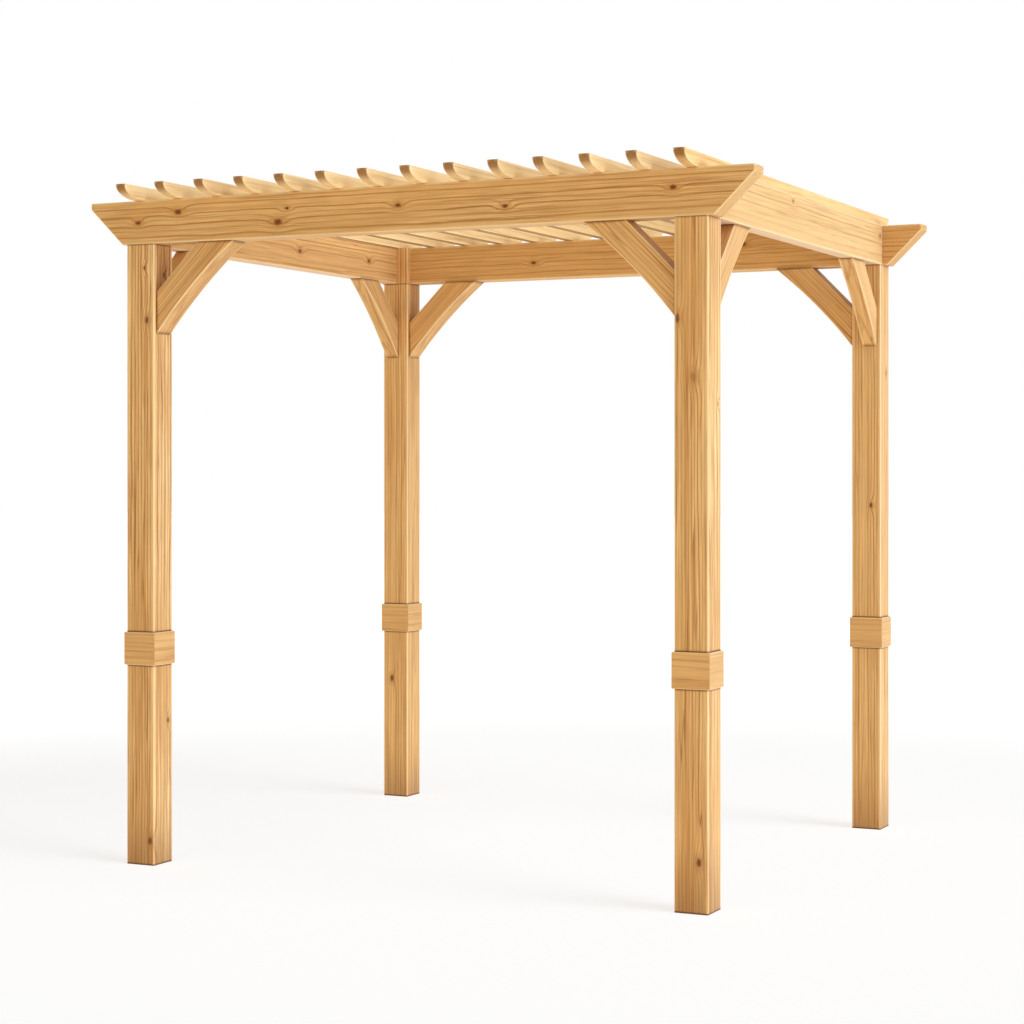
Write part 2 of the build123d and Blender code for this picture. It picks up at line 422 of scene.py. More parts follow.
def add_piece(name, node, material, timbers):
    """Puts one or more timbers into one mesh, with grain, wear (which also carries painted highlight and
    painted shade), tone and end grain as attributes, and lets it stand for its node."""
    starts = np.cumsum([0] + [len(part["points"]) for part in timbers])[:-1]
    points = np.concatenate([part["points"] for part in timbers])
    faces = []
    for part, start in zip(timbers, starts):
        faces += (part["quads"] + start).tolist()
        faces += (part["caps"] + start).tolist()
    mesh = bpy.data.meshes.new(name)
    mesh.from_pydata(points.tolist(), [], faces)
    layers = {"wear_and_painted_light": "POINT", "tone": "POINT", "end": "FACE"}
    for layer, domain in layers.items():
        values = np.concatenate([part[layer] for part in timbers]).astype(np.float32)
        mesh.attributes.new(layer, "FLOAT", domain).data.foreach_set("value", values)
    grain = np.concatenate([part["grain"] for part in timbers]).astype(np.float32)
    mesh.attributes.new("grain", "FLOAT_VECTOR", "POINT").data.foreach_set("vector", grain.ravel())
    mesh.materials.append(material)
    mesh.shade_smooth()
    mesh.set_sharp_from_angle(angle=SHARP_ANGLE)
    mesh.validate()
    piece = bpy.data.objects.new(name, mesh)
    bpy.context.scene.collection.objects.link(piece)
    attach(piece, "root")
    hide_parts(node)


class Wiring:
    """Short words for adding nodes to one node tree."""

    def __init__(self, tree):
        self.tree = tree
        tree.nodes.clear()

    def put(self, socket, value):
        """Links a socket or sets a plain value."""
        if isinstance(value, bpy.types.NodeSocket):
            self.tree.links.new(value, socket)
        elif value is not None:
            socket.default_value = value

    def add(self, kind, inputs=None, **settings):
        node = self.tree.nodes.new(kind)
        for name, value in settings.items():
            setattr(node, name, value)
        for name, value in (inputs or {}).items():
            self.put(node.inputs[name], value)
        return node

    def effect(self, name, inputs):
        """A shared effect with its inputs. Returns its outputs."""
        return self.add("ShaderNodeGroup", inputs, node_tree=bpy.data.node_groups[name]).outputs

    def math(self, operation, *values, clamp=False):
        node = self.add("ShaderNodeMath", dict(enumerate(values)), operation=operation, use_clamp=clamp)
        return node.outputs[0]

    def vector(self, operation, *values, scale=None):
        inputs = dict(enumerate(values))
        if scale is not None:
            inputs["Scale"] = scale
        node = self.add("ShaderNodeVectorMath", inputs, operation=operation)
        return node.outputs["Value" if operation == "LENGTH" else "Vector"]

    def step(self, value, low, high, from_value=0.0, to_value=1.0):
        """A smooth step between two levels."""
        node = self.add(
            "ShaderNodeMapRange",
            {"Value": value, "From Min": low, "From Max": high, "To Min": from_value, "To Max": to_value},
            interpolation_type="SMOOTHSTEP", clamp=True)
        return node.outputs["Result"]

    def noise(self, vector, waves, detail, roughness, output="Fac"):
        """Noise with so many waves a metre in each direction."""
        place = self.vector("MULTIPLY", vector, waves)
        node = self.add(
            "ShaderNodeTexNoise", {"Vector": place, "Scale": 1.0, "Detail": detail, "Roughness": roughness})
        return node.outputs[output]

    def drift(self, vector, waves, detail, roughness, reach):
        """A smooth random offset: noise in three directions, less its mean, times the reach."""
        away = self.vector("SUBTRACT", self.noise(vector, waves, detail, roughness, "Color"), (0.5, 0.5, 0.5))
        return self.vector("SCALE", away, scale=reach)

    def mix(self, share, first, second, blend="MIX"):
        inputs = {0: share, 6: first, 7: second}
        node = self.add("ShaderNodeMix", inputs, data_type="RGBA", blend_type=blend, clamp_factor=True)
        return node.outputs[2]

    def both(self, first, second, share=None):
        """Adds two shaders up or, with a share, goes over from the first to the second."""
        shaders = (first.outputs[0], second.outputs[0])
        if share is None:
            return self.add("ShaderNodeAddShader", dict(enumerate(shaders)))
        return self.add("ShaderNodeMixShader", dict(enumerate((share, *shaders))))

    def seen(self):
        """1 where the camera looks, straight on, in a gloss or through something clear."""
        path = self.add("ShaderNodeLightPath").outputs
        round_about = self.math("MAXIMUM", path["Is Glossy Ray"], path["Is Transmission Ray"])
        return self.math("MAXIMUM", path["Is Camera Ray"], round_about)


def wiring_of(block):
    """The empty node tree of a new material or world."""
    block.use_nodes = True
    return Wiring(block.node_tree)


def new_group(name, inputs, outputs):
    """An empty shader node group with named sockets: its wiring, what it is given and what it gives."""
    tree = bpy.data.node_groups.new(name, "ShaderNodeTree")
    for direction, sockets in (("INPUT", inputs), ("OUTPUT", outputs)):
        for kind, titles in sockets.items():
            for title in titles:
                tree.interface.new_socket(name=title, in_out=direction, socket_type=kind)
    wiring = Wiring(tree)
    return wiring, wiring.add("NodeGroupInput").outputs, wiring.add("NodeGroupOutput").inputs


def growth_rings_group():
    """Growth rings: the distance from the log's heart, which wanders along the timber, is divided by the
    ring spacing. Each ring darkens slowly to its late wood and ends sharply, some stronger than others.
    The band is a slow change over many rings."""
    w, given, out = new_group(
        "growth rings",
        {VECTOR: ("Grain",), VALUE: ("Ring Spacing", "Waviness", "Swirl")},
        {VALUE: ("Rings", "Band")},
    )
    across_only = (0.0, 1.0, 1.0)
    darkening, ending = (0.54, 0.88), (0.91, 1.0)
    rarity, spread, faintest = 1.3, 1.35, 0.20
    waves_a_ring, band_rise = 0.21, (0.38, 0.66)
    wander = w.drift(given["Grain"], *RING_WANDER, given["Waviness"])
    wobble = w.drift(given["Grain"], *RING_WOBBLE, RING_WOBBLE_REACH)
    place = w.vector("ADD", w.vector("ADD", given["Grain"], wander), wobble)
    radius = w.vector("LENGTH", w.vector("MULTIPLY", place, across_only))
    phase = w.math("ADD", w.math("DIVIDE", radius, given["Ring Spacing"]), given["Swirl"])
    share = w.math("FRACT", phase)
    late = w.math("MULTIPLY", w.step(share, *darkening), w.step(share, *ending, 1.0, 0.0))
    year = w.add("ShaderNodeTexWhiteNoise", {"W": w.math("FLOOR", phase)}, noise_dimensions="1D")
    strength = w.math("POWER", year.outputs["Value"], rarity)
    strength = w.math("MULTIPLY_ADD", strength, spread, faintest)
    w.put(out["Rings"], w.math("MULTIPLY", late, strength))
    slow = w.add(
        "ShaderNodeTexNoise", {"W": w.math("MULTIPLY", phase, waves_a_ring), "Detail": 2.0, "Scale": 1.0},
        noise_dimensions="1D")
    w.put(out["Band"], w.step(slow.outputs["Fac"], *band_rise))


def fibres_group():
    """Fibres along the grain: noise that is stretched along the timber, fine, medium and broad. The dark
    lines are contours of a broad noise, and fade in and out."""
    w, given, out = new_group("fibres", {VECTOR: ("Grain",)}, {VALUE: (*FIBRES, "Line")})
    contours, line_width, fading = 5.0, 0.14, (0.42, 0.62)
    for title, noise in FIBRES.items():
        w.put(out[title], w.noise(given["Grain"], *noise))
    height = w.math("MULTIPLY", w.noise(given["Grain"], *DARK_LINES), contours)
    near = w.math("ABSOLUTE", w.math("SUBTRACT", w.math("FRACT", height), 0.5))
    fade = w.step(w.noise(given["Grain"], *DARK_LINE_FADE), *fading)
    w.put(out["Line"], w.math("MULTIPLY", w.step(near, 0.0, line_width, 1.0, 0.0), fade))


def knot_group():
    """A knot: the distance from its centre, stretched along the grain and roughened by noise, in knot
    radii. The core is dark and darkest inside, the halo fades out around it, and the swirl, a bell curve,
    lifts the rings so that they run round it."""
    w, given, out = new_group(
        "knot",
        {VECTOR: ("Position", "Centre", "Stretch"), VALUE: ("Size", "Depth")},
        {VALUE: ("Core", "Halo", "Swirl")},
    )
    raggedness = 0.6
    outer_core, inner_core = (0.62, 0.88, 0.68), (0.30, 0.58, 0.32)
    halo_fading, swirl_fall, swirl_rings = (0.4, 2.6), -0.22, 1.2
    offset = w.vector("MULTIPLY", w.vector("SUBTRACT", given["Position"], given["Centre"]), given["Stretch"])
    ragged = w.math("SUBTRACT", w.noise(given["Position"], *KNOT_EDGE), 0.5)
    away = w.math("DIVIDE", w.vector("LENGTH", offset), given["Size"])
    away = w.math("MULTIPLY_ADD", ragged, raggedness, away)
    core = w.math("ADD", w.step(away, *outer_core, 0.0), w.step(away, *inner_core, 0.0))
    w.put(out["Core"], w.math("MULTIPLY", core, given["Depth"]))
    w.put(out["Halo"], w.step(away, *halo_fading, 1.0, 0.0))
    bell = w.math("EXPONENT", w.math("MULTIPLY", w.math("MULTIPLY", away, away), swirl_fall))
    w.put(out["Swirl"], w.math("MULTIPLY", bell, swirl_rings))


def timber_finish_group():
    """The oiled surface: early and late wood by ring, warm streaks, knots, darker end grain, paler edges that
    are partly worn and partly a painted highlight, dark lines that are painted shade at joints and under the
    slats, and a tone for each timber. The sheen follows the rings, and the relief follows rings, fibres and
    knots."""
    w, given, out = new_group(
        "timber finish",
        {VALUE: ("Rings", "Band", "Fine", "Streak", "Cloud", "Line", "Core", "Halo", "End", "Wear_and_painted_light", "Tone",
                 "Figure", "Paleness", "End Share"),
         COLOUR: tuple(WOOD_COLOURS)},
        {COLOUR: ("Color",), VALUE: ("Roughness", "Height")},
    )
    cut_range, cut_figure_loss = (0.10, 0.75), -0.6
    band_share, line_share, halo_share, worn_highlight_share, painted_shade_share = 0.38, 0.66, 0.50, 0.72, 0.9
    streak_rise, cloud_rise = (0.48, 0.70, 0.0, 0.75), (0.40, 0.75, 0.0, 0.60)
    fibre_by_figure, least_fibre, fibre_mean = 0.62, 0.22, 1.02
    tone_share, painted_shade_dimming = 0.045, 0.3
    rough, ring_rough, fibre_rough, knot_rough, end_rough = 0.62, -0.10, 0.12, -0.14, 0.16
    ring_height, fibre_height, knot_height = 0.45, 0.55, -0.6

    plain = w.step(given["End"], *cut_range)
    figure = w.math("MULTIPLY", given["Figure"], w.math("MULTIPLY_ADD", plain, cut_figure_loss, 1.0))
    shade = w.mix(given["Paleness"], given["Early Wood"], given["Sapwood"])
    shade = w.mix(w.math("MULTIPLY", given["Paleness"], -1.0, clamp=True), shade, given["Warm Streak"])
    layers = (
        (given["Rings"], "Late Wood"),
        (w.math("MULTIPLY", given["Band"], band_share), "Warm Streak"),
        (w.step(given["Streak"], *streak_rise), "Late Wood"),
        (w.step(given["Cloud"], *cloud_rise), "Warm Streak"),
        (w.math("MULTIPLY", given["Line"], line_share), "Dark Line"),
    )
    for share, tint in layers:
        shade = w.mix(w.math("MULTIPLY", share, figure), shade, given[tint])
    crisp = w.math("MULTIPLY_ADD", figure, fibre_by_figure, least_fibre)
    fine = w.math("MULTIPLY_ADD", w.math("SUBTRACT", given["Fine"], 0.5), crisp, fibre_mean)
    shade = w.vector("SCALE", shade, scale=w.math("MULTIPLY_ADD", given["Tone"], tone_share, fine))
    shade = w.mix(w.math("MULTIPLY", given["Halo"], halo_share), shade, given["Late Wood"])
    shade = w.mix(given["Core"], shade, given["Knot Wood"])
    cut = w.math("MULTIPLY", plain, given["End Share"])
    shade = w.mix(cut, shade, w.mix(1.0, shade, given["End Tint"], "MULTIPLY"))
    # Edges go paler towards sapwood: partly worn wood, partly a painted highlight.
    shade = w.mix(w.step(given["Wear_and_painted_light"], 0.0, 1.0, 0.0, worn_highlight_share), shade, given["Sapwood"])
    # Below zero the colour goes to the dark line and dims: painted shade at joints and under the slats.
    shade = w.mix(w.math("MULTIPLY", given["Wear_and_painted_light"], -painted_shade_share, clamp=True), shade, given["Dark Line"])
    shade = w.vector("SCALE", shade, scale=w.step(given["Wear_and_painted_light"], -1.0, 0.0, painted_shade_dimming, 1.0))
    w.put(out["Color"], shade)
    for title, change in (("Rings", ring_rough), ("Fine", fibre_rough), ("Core", knot_rough)):
        rough = w.math("MULTIPLY_ADD", given[title], change, rough)
    w.put(out["Roughness"], w.math("MULTIPLY_ADD", cut, end_rough, rough, clamp=True))
    height = w.math("MULTIPLY", given["Fine"], fibre_height)
    for title, change in (("Rings", ring_height), ("Core", knot_height)):
        height = w.math("MULTIPLY_ADD", given[title], change, height)
    w.put(out["Height"], height)


def knot_places(node):
    """The knots of a node: the place of each on the object, its radius and its depth of colour."""
    low, high = limits(node)
    for face, aside, up, radius, *depth in KNOTS[node]:
        axis, end = FACES[face]
        place = (low + high) / 2
        place[axis] = (low, high)[end][axis]
        place[1 - axis] += aside
        place[2] = low[2] + up
        yield place.tolist(), radius, *(depth or [FULL_DEPTH])


def wood_material(name, wood, look, knots=(), axis=X_AXIS, end_share=SIDE_CUT_TINT, gloss=1.0):
    """Planed, oiled softwood. Rings and fibres follow the timber's own grain coordinates. Each knot has
    a place on the object, and is longer along the axis of the timber."""
    material = bpy.data.materials.new(name)
    w = wiring_of(material)
    grain = w.add("ShaderNodeAttribute", attribute_name="grain").outputs["Vector"]
    position = w.add("ShaderNodeTexCoord").outputs["Object"] if knots else None
    stretch = np.where(axis == 1.0, KNOT_STRETCH, 1.0).tolist()
    totals = {}
    for centre, size, depth in knots:
        knot = w.effect("knot", {
            "Position": position, "Centre": centre, "Stretch": stretch, "Size": size, "Depth": depth})
        for title, join in (("Core", "MAXIMUM"), ("Halo", "MAXIMUM"), ("Swirl", "ADD")):
            totals[title] = w.math(join, totals[title], knot[title]) if title in totals else knot[title]
    rings = w.effect("growth rings", {
        "Grain": grain, "Ring Spacing": wood.ring_spacing, "Waviness": wood.waviness,
        "Swirl": totals.pop("Swirl", None)})
    fibres = w.effect("fibres", {"Grain": grain})
    figure, paleness = look
    layers = {"Figure": figure, "Paleness": paleness, "End Share": end_share, **totals}
    for output in (*rings, *fibres):
        layers[output.name] = output
    for title in ("End", "Wear_and_painted_light", "Tone"):
        layers[title] = w.add("ShaderNodeAttribute", attribute_name=title.lower()).outputs["Fac"]
    for title, field in WOOD_COLOURS.items():
        layers[title] = (*getattr(wood, field), 1.0)
    finish = w.effect("timber finish", layers)
    bump = w.add("ShaderNodeBump", {"Height": finish["Height"], "Distance": wood.relief, "Strength": 0.7})
    shader = w.add("ShaderNodeBsdfPrincipled", {
        "Base Color": finish["Color"],
        "Roughness": finish["Roughness"],
        "Normal": bump.outputs["Normal"],
        "Specular IOR Level": 0.1 + 0.2 * gloss,
        "Coat Weight": 0.15 * gloss,
        "Coat Roughness": 0.5,
        "Sheen Weight": 0.35 * gloss,
        "Sheen Roughness": 0.35,
        "Sheen Tint": (1.0, 0.90, 0.72, 1.0),
    })
    w.add("ShaderNodeOutputMaterial", {"Surface": shader.outputs["BSDF"]})
    return material


def own_wood(node, wood, axis, gloss=1.0):
    """The wood of a timber that has its own look and knots."""
    name = f"{node} wood".replace("_", " ")
    return wood_material(name, wood, LOOKS[node], list(knot_places(node)), axis, gloss=gloss)


class PERGOLA_OT_stage(Operator):
    """Sets up the camera, the pale floor and the soft lamps"""

    bl_idname = "pergola.stage"
    bl_label = "Stage"

    def execute(self, context):
        scene = context.scene
        stage = scene.pergola_stage
        scene.view_settings.view_transform = "Standard"
        self.add_camera(scene, stage)
        self.add_world(scene, stage)
        self.add_floor(scene, stage)
        self.add_lamp(scene, "high lamp", *HIGH_LAMP, stage.high_level)
        self.add_panel(scene, "low panel", *LOW_PANEL, stage.low_level)
        self.add_lamp(scene, "side lamp", *SIDE_LAMP, stage.side_level)
        self.add_lamp(scene, "front lamp", *FRONT_LAMP, stage.front_level)
        return {"FINISHED"}

    def add_camera(self, scene, stage):
        data = bpy.data.cameras.new("camera")
        data.sensor_width = SENSOR_WIDTH
        data.sensor_fit = "HORIZONTAL"
        data.lens = stage.lens
        data.shift_y = stage.camera_drop
        data.dof.use_dof = False
        data.clip_end = VIEW_DEPTH
        camera = bpy.data.objects.new("camera", data)
        camera.location = stage.camera_place
        camera.rotation_euler = (math.pi / 2, 0.0, stage.camera_turn)
        scene.collection.objects.link(camera)
        scene.camera = camera

    def add_world(self, scene, stage):
        """Plain light from all around, which the camera sees as white."""
        scene.world = bpy.data.worlds.new("pale surroundings")
        w = wiring_of(scene.world)
        light = w.add("ShaderNodeBackground", {"Color": WHITE, "Strength": stage.ambient})
        white = w.add("ShaderNodeBackground", {"Color": WHITE, "Strength": 1.0})
        surroundings = w.both(light, white, w.seen())
        w.add("ShaderNodeOutputWorld", {"Surface": surroundings.outputs[0]})

    def add_floor(self, scene, stage):
        """A level grid on the ground: x and y run evenly over a square, z is zero."""
        reach = np.linspace(-FLOOR_REACH, FLOOR_REACH, FLOOR_POINTS)
        x, y = np.meshgrid(reach, reach, indexing="xy")
        points = np.stack([x, y, np.zeros_like(x)], axis=-1).reshape(-1, 3)
        index = np.arange(x.size).reshape(x.shape)
        corners = [index[:-1, :-1], index[:-1, 1:], index[1:, 1:], index[1:, :-1]]
        mesh = bpy.data.meshes.new("floor")
        mesh.from_pydata(points.tolist(), [], np.stack(corners, axis=-1).reshape(-1, 4).tolist())
        mesh.materials.append(self.floor_material(stage))
        floor = bpy.data.objects.new("floor", mesh)
        scene.collection.objects.link(floor)

    def floor_material(self, stage):
        """A pale matt floor that glows upwards, and that the camera sees go over to white."""
        material = bpy.data.materials.new("pale floor")
        w = wiring_of(material)
        matt = w.add("ShaderNodeBsdfDiffuse", {"Color": (*stage.floor_colour, 1.0)})
        glow = w.add("ShaderNodeEmission", {"Color": FLOOR_GLOW_COLOUR, "Strength": stage.floor_glow})
        lit = w.add("ShaderNodeBsdfDiffuse", {"Color": FLOOR_SEEN_COLOUR})
        away = w.vector("LENGTH", w.add("ShaderNodeTexCoord").outputs["Object"])
        lift = w.add("ShaderNodeEmission", {"Color": WHITE, "Strength": w.step(away, *FLOOR_LIFT)})
        surface = w.both(w.both(matt, glow), w.both(lit, lift), w.seen())
        w.add("ShaderNodeOutputMaterial", {"Surface": surface.outputs[0]})
        return material

    def add_panel(self, scene, name, place, aim, width, height, tint, strength):
        """A panel of light that faces the aim. A level of 1 at the aim shows a colour as written."""
        aim = Vector(aim) - Vector(place)
        data = self.add_light(scene, name, "AREA", place, aim, tint)
        data.shape = "RECTANGLE"
        data.size = width
        data.size_y = height
        data.energy = strength * math.pi ** 2 * aim.length_squared

    def add_lamp(self, scene, name, side, spread, tint, strength):
        """A far, broad lamp. A level of 1 on a surface that faces it shows a colour as written."""
        data = self.add_light(scene, name, "SUN", side, -Vector(side), tint)
        data.angle = math.radians(spread)
        data.energy = strength * math.pi

    def add_light(self, scene, name, kind, place, aim, tint):
        data = bpy.data.lights.new(name, kind)
        data.color = tint
        light = bpy.data.objects.new(name, data)
        light.location = place
        light.rotation_euler = aim.to_track_quat("-Z", "Y").to_euler()
        scene.collection.objects.link(light)
        return data


class PERGOLA_OT_wood(Operator):
    """Builds the shared effects of the wood: growth rings, fibres, knots and the oiled finish"""

    bl_idname = "pergola.wood"
    bl_label = "Wood"

    def execute(self, context):
        growth_rings_group()
        fibres_group()
        knot_group()
        timber_finish_group()
        return {"FINISHED"}


class PERGOLA_OT_posts(Operator):
    """Makes the four square posts, each with the tongue that rises between two beams"""

    bl_idname = "pergola.posts"
    bl_label = "Posts"

    def execute(self, context):
        sizes = context.scene.pergola_sizes
        for seed, corner in enumerate(CORNERS, start=POST_SEED):
            node = f"{corner}_post"
            material = own_wood(node, context.scene.pergola_wood, Z_AXIS)
            add_piece(f"{node}_timber", node, material, [self.post(node, sizes, seed)])
        return {"FINISHED"}

    def post(self, node, sizes, seed):
        """A rounded square carried up to the seat of the beams, where it steps in to the tongue. Each side
        of the tongue is the post's less the thickness of a beam, towards the middle of the frame."""
        low, high = limits(node)
        side = (high - low)[0]
        middle = (low + high) / 2
        foot, seat = low[2], limits("front_beam")[0][2]
        beams = np.array([spans("left_side_beam")[0], spans("front_beam")[1]])
        slim = side - beams - 2 * SHADOW_LINE
        inner = middle[:2] - np.sign(middle[:2]) * beams / 2
        collar = [corner[2] for corner in limits(node.replace("post", "collar"))]
        ring = [collar[0] - JOINT_SHADE, *collar, collar[1] + JOINT_SHADE]
        along = np.union1d(even_rows(foot, seat, POST_PITCH), ring)
        shaft = eased_rows(along, steady(*middle[:2], side, side), sizes.post_ease, END_EASE, END_EASE)
        tongue = eased_rows(
            np.array([seat, high[2]]), steady(*inner, *slim), TONGUE_EDGE, 0.0, TONGUE_TOP_EASE)
        z, *section = [np.concatenate(pair) for pair in zip(shaft, tongue)]
        a, b, wear_highlight_shade = rounded_loops(*section)
        on_shaft = np.where(np.arange(z.size) < shaft[0].size, z, z + JOINT_SHADE)
        # Dark lines at the foot, around the collar and under the seat: painted contact shade.
        wear_highlight_shade = with_painted_joint_shade(wear_highlight_shade, on_shaft, [
            (foot, foot + SHADED_FOOT_HEIGHT, FOOT_PAINTED_SHADE), (*collar, COLLAR_PAINTED_SHADE), (seat, seat, SEAT_PAINTED_SHADE)])
        loops = np.stack([a, b, np.broadcast_to(z[:, None], a.shape)], axis=-1)
        chance = np.random.default_rng(seed)
        across, through = POST_HEART
        heart = (chance.uniform(*across) * chance.choice([-1, 1]), chance.uniform(*through))
        return timber(loops, wear_highlight_shade, Z_AXIS, X_AXIS, seed, heart)


class PERGOLA_OT_beams(Operator):
    """Makes the front and rear beams with their mitred ends, and the two side beams between them"""

    bl_idname = "pergola.beams"
    bl_label = "Beams"

    def execute(self, context):
        sizes = context.scene.pergola_sizes
        wood = context.scene.pergola_wood
        for seed, node in enumerate(("front_beam", "rear_beam"), start=CROSS_BEAM_SEED):
            material = own_wood(node, wood, X_AXIS, CROSS_BEAM_GLOSS)
            add_piece(f"{node}_timber", node, material, [self.cross_beam(node, sizes, seed)])
        for seed, node in enumerate(("left_side_beam", "right_side_beam"), start=SIDE_BEAM_SEED):
            material = own_wood(node, wood, Y_AXIS)
            add_piece(f"{node}_timber", node, material, [self.side_beam(node, sizes, seed)])
        return {"FINISHED"}

    def cross_beam(self, node, sizes, seed):
        """A rounded rectangle carried along x. Its top is level. Its bottom is level too, and rises in a
        straight line to the nose over the length of the mitre at each end."""
        low, high = limits(node)
        tip = high[0]
        foot = tip - sizes.beam_mitre
        rise = (high - low)[2] - sizes.beam_nose
        middle_y = (low[1] + high[1]) / 2
        thickness = (high - low)[1]

        def profile(x):
            bottom = low[2] + rise * np.clip((np.abs(x) - foot) / (tip - foot), 0.0, 1.0)
            return middle_y, (bottom + high[2]) / 2, thickness, high[2] - bottom

        mitre = np.array([foot - FLAT_BAND, foot + FLAT_BAND, tip])
        along = np.unique(np.concatenate([-mitre, even_rows(-foot, foot, BEAM_PITCH), mitre]))
        x, *section = eased_rows(along, profile, sizes.beam_ease, END_EASE, END_EASE)
        a, b, wear_highlight_shade = rounded_loops(*section)
        loops = np.stack([np.broadcast_to(x[:, None], a.shape), a, b], axis=-1)
        return timber(loops, wear_highlight_shade, X_AXIS, Z_AXIS, seed, CROSS_BEAM_HEART)

    def side_beam(self, node, sizes, seed):
        """A rounded rectangle carried along y."""
        low, high = limits(node)
        middle = (low + high) / 2
        width, _, height = high - low
        along = even_rows(low[1], high[1], BEAM_PITCH)
        profile = steady(middle[2], middle[0], height, width)
        y, *section = eased_rows(along, profile, sizes.beam_ease, 0.0, 0.0)
        a, b, wear_highlight_shade = rounded_loops(*section)
        # Dark lines at both ends, where the side beam meets the cross beams: painted contact shade.
        wear_highlight_shade = with_painted_joint_shade(wear_highlight_shade, y, [(end, end, BUTT_PAINTED_SHADE) for end in (low[1], high[1])])
        loops = np.stack([b, np.broadcast_to(y[:, None], a.shape), a], axis=-1)
        return timber(loops, wear_highlight_shade, Y_AXIS, Z_AXIS, seed, SIDE_BEAM_HEART)


class PERGOLA_OT_braces(Operator):
    """Makes the eight knee braces with their arched undersides"""

    bl_idname = "pergola.braces"
    bl_label = "Braces"

    def execute(self, context):
        sizes = context.scene.pergola_sizes
        material = wood_material("brace wood", context.scene.pergola_wood, LOOKS["brace"])
        runs = []
        for corner in CORNERS:
            end_name, side_name = corner.split("_")
            end = -1 if end_name == "front" else 1
            side = -1 if side_name == "left" else 1
            runs.append((f"{corner}_{end_name}_beam_brace", -side * X_AXIS))
            runs.append((f"{corner}_side_beam_brace", -end * Y_AXIS))
        for seed, (node, run) in enumerate(runs, start=BRACE_SEED):
            add_piece(f"{node}_timber", node, material, [self.brace(node, run, sizes, seed)])
        return {"FINISHED"}

    def brace(self, node, run, sizes, seed):
        """A rounded rectangle carried from the post to the beam. Its upper edge is the straight line
        between the short legs. Its lower edge is the line between the long legs plus the arch, which is
        four times its rise times the share of the way gone times the share left. Each section spans the
        two edges at the same share of the way."""
        low, high = limits(node)
        middle = (low + high) / 2
        long_leg = (high - low)[2]
        short_leg = sizes.brace_short_leg
        origin = middle - run * (np.abs(run) @ (high - low)) / 2
        origin[2] = high[2]
        across = np.cross(Z_AXIS, run)
        thickness = np.abs(across) @ (high - low)
        inner = np.linspace(0.0, 1.0, BRACE_STEPS + 1)[1:-1]
        share = np.concatenate([[0.0, BRACE_END_SHARE], inner, [1.0 - BRACE_END_SHARE, 1.0]])
        shrink = np.where((share == 0.0) | (share == 1.0), END_EASE, 0.0)
        swell = 4 * sizes.brace_arch * share * (1 - share) / math.sqrt(2)
        lower = np.stack([long_leg * share - swell, long_leg * (share - 1) + swell], axis=-1)
        upper = np.stack([short_leg * share, short_leg * (share - 1)], axis=-1)
        reach = np.linalg.norm(upper - lower, axis=1)
        a, b, wear_highlight_shade = rounded_loops(
            0.0, reach / 2, thickness - 2 * shrink, reach - 2 * shrink, sizes.brace_ease - shrink)
        # Dark lines at both ends, where the brace meets post and beam: painted contact shade.
        wear_highlight_shade = with_painted_joint_shade(wear_highlight_shade, share * long_leg, [(end, end, BUTT_PAINTED_SHADE) for end in (0.0, long_leg)])
        flat = lower[:, None, :] + (b / reach[:, None])[..., None] * (upper - lower)[:, None, :]
        loops = origin + flat[..., :1] * run + flat[..., 1:] * Z_AXIS + a[..., None] * across
        return timber(loops, wear_highlight_shade, run + Z_AXIS, across, seed, BRACE_HEART)


class PERGOLA_OT_slats(Operator):
    """Makes the roof slats with their rounded tails"""

    bl_idname = "pergola.slats"
    bl_label = "Slats"

    def execute(self, context):
        sizes = context.scene.pergola_sizes
        # One wood in two looks set by light: the slats', paled as painted light, and the right outer slat's,
        # for its lit side.
        materials = [
            wood_material(f"{kind} wood", context.scene.pergola_wood, LOOKS[kind], end_share=1.0, gloss=0.0)
            for kind in ("slat", "right outer slat")]
        for seed, node in enumerate(SLAT_NODES, start=SLAT_SEED):
            material = materials[node == SLAT_NODES[-1]]
            add_piece(f"{node}_timber", node, material, [self.slat(node, sizes, seed)])
        return {"FINISHED"}

    def slat(self, node, sizes, seed):
        """A rounded rectangle carried along y. Its top is level. Over each tail its bottom rises from the
        beam as a quarter of an ellipse, by the slat's height less the nose and the cosine's share of it,
        while the place along the tail follows the sine."""
        low, high = limits(node)
        width, _, height = high - low
        tail = high[1] - limits("rear_beam")[1][1]
        face = high[1] - tail
        drop = height - sizes.slat_nose
        middle_x = (low[0] + high[0]) / 2

        def profile(y):
            gone = np.clip((np.abs(y) - face) / tail, 0.0, 1.0)
            bottom = low[2] + drop * (1 - np.sqrt(1 - gone ** 2))
            return (bottom + high[2]) / 2, middle_x, high[2] - bottom, width

        curve = face + tail * np.sin(np.linspace(0.0, math.pi / 2, TAIL_STEPS + 1))
        along = np.unique(np.concatenate([-curve, even_rows(-face, face, SLAT_PITCH), curve]))
        y, *section = eased_rows(along, profile, sizes.slat_ease, 0.0, 0.0, SLAT_FLAT_BAND)
        a, b, wear_highlight_shade = rounded_loops(*section)
        # The slats' undersides between the beams' outer faces are darkened: painted shade.
        between = (np.abs(y) < face + SHADOW_LINE)[:, None]
        shaded_underside = between & (a < a.min(axis=1, keepdims=True) + SHADOW_LINE)
        wear_highlight_shade = np.where(shaded_underside, -UNDERSIDE_PAINTED_SHADE, wear_highlight_shade)
        loops = np.stack([b, np.broadcast_to(y[:, None], a.shape), a], axis=-1)
        chance = np.random.default_rng(seed)
        return timber(loops, wear_highlight_shade, Y_AXIS, Z_AXIS, seed, [chance.uniform(*span) for span in SLAT_HEART])


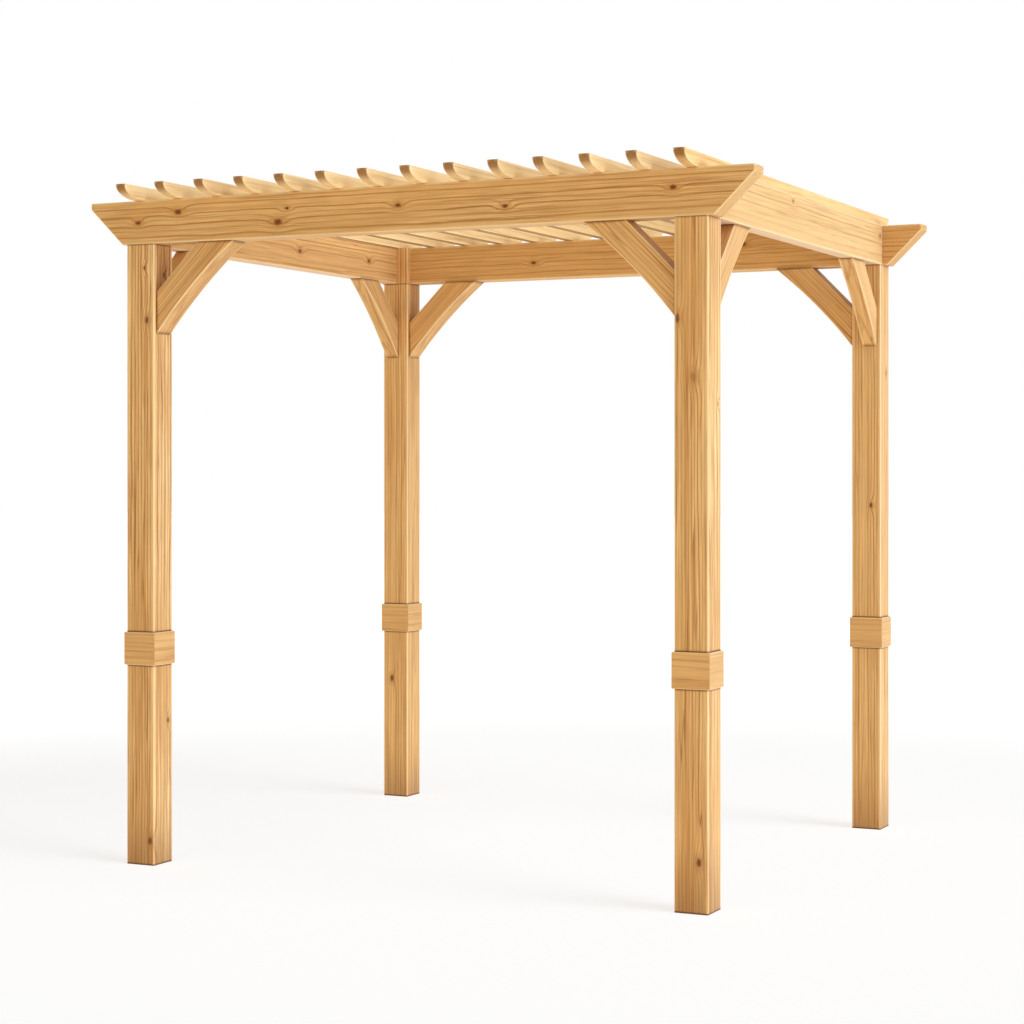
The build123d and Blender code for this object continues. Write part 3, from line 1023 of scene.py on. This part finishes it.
class PERGOLA_OT_collars(Operator):
    """Makes the collars, four mitred boards around each post"""

    bl_idname = "pergola.collars"
    bl_label = "Collars"

    def execute(self, context):
        sizes = context.scene.pergola_sizes
        material = wood_material("collar wood", context.scene.pergola_wood, LOOKS["collar"])
        sides = (-Y_AXIS, X_AXIS, Y_AXIS, -X_AXIS)
        for number, corner in enumerate(CORNERS):
            node = f"{corner}_collar"
            first_seed = COLLAR_SEED + number * len(sides)
            boards = [
                self.board(node, f"{corner}_post", outward, sizes, seed)
                for seed, outward in enumerate(sides, start=first_seed)]
            add_piece(f"{node}_boards", node, material, boards)
        return {"FINISHED"}

    def board(self, node, post, outward, sizes, seed):
        """A rounded rectangle carried along one face of the post. Each point's place along the face is
        its share of the way times half the post's side plus its own distance from the post, less half
        the gap, so the ends are mitred."""
        low, high = limits(node)
        half = spans(post)[0] / 2
        thickness = (high - low)[0] / 2 - half
        middle = (low + high) / 2
        along = np.cross(Z_AXIS, outward)
        share = np.array(COLLAR_SHARES)
        ease = np.full(share.size, sizes.collar_ease)
        a, b, wear_highlight_shade = rounded_loops(thickness / 2, middle[2], thickness, (high - low)[2], ease)
        place = share[:, None] * (half + a - sizes.collar_gap / 2)
        ground = np.array([middle[0], middle[1], 0.0])
        loops = ground + (half + a)[..., None] * outward + b[..., None] * Z_AXIS - place[..., None] * along
        chance = np.random.default_rng(seed)
        return timber(loops, wear_highlight_shade, along, Z_AXIS, seed, [chance.uniform(*span) for span in COLLAR_HEART])


class PERGOLA_PT_sidebar(Panel):
    """Lists the pergola's pieces, sizes, wood and stage"""

    bl_idname = "PERGOLA_PT_sidebar"
    bl_label = "Wooden Pergola"
    bl_space_type = "VIEW_3D"
    bl_region_type = "UI"
    bl_category = "Pergola"

    def draw(self, context):
        pieces = self.layout.column(align=True)
        for step in STEPS:
            pieces.operator(step.bl_idname)
        for title in GROUPS:
            group = getattr(context.scene, title)
            column = self.layout.box().column()
            for name in group.__annotations__:
                column.prop(group, name)


STEPS = (
    PERGOLA_OT_stage,
    PERGOLA_OT_wood,
    PERGOLA_OT_posts,
    PERGOLA_OT_beams,
    PERGOLA_OT_braces,
    PERGOLA_OT_slats,
    PERGOLA_OT_collars,
)
GROUPS = {"pergola_sizes": PergolaSizes, "pergola_wood": PergolaWood, "pergola_stage": PergolaStage}
CLASSES = (*GROUPS.values(), *STEPS, PERGOLA_PT_sidebar)


def register():
    for item in CLASSES:
        bpy.utils.register_class(item)
    for title, group in GROUPS.items():
        setattr(bpy.types.Scene, title, PointerProperty(type=group))


def unregister():
    for title in reversed(GROUPS):
        delattr(bpy.types.Scene, title)
    for item in reversed(CLASSES):
        bpy.utils.unregister_class(item)


def main():
    register()
    bpy.ops.pergola.stage()
    bpy.ops.pergola.wood()
    bpy.ops.pergola.posts()
    bpy.ops.pergola.beams()
    bpy.ops.pergola.braces()
    bpy.ops.pergola.slats()
    bpy.ops.pergola.collars()


if __name__ == "__main__":
    main()
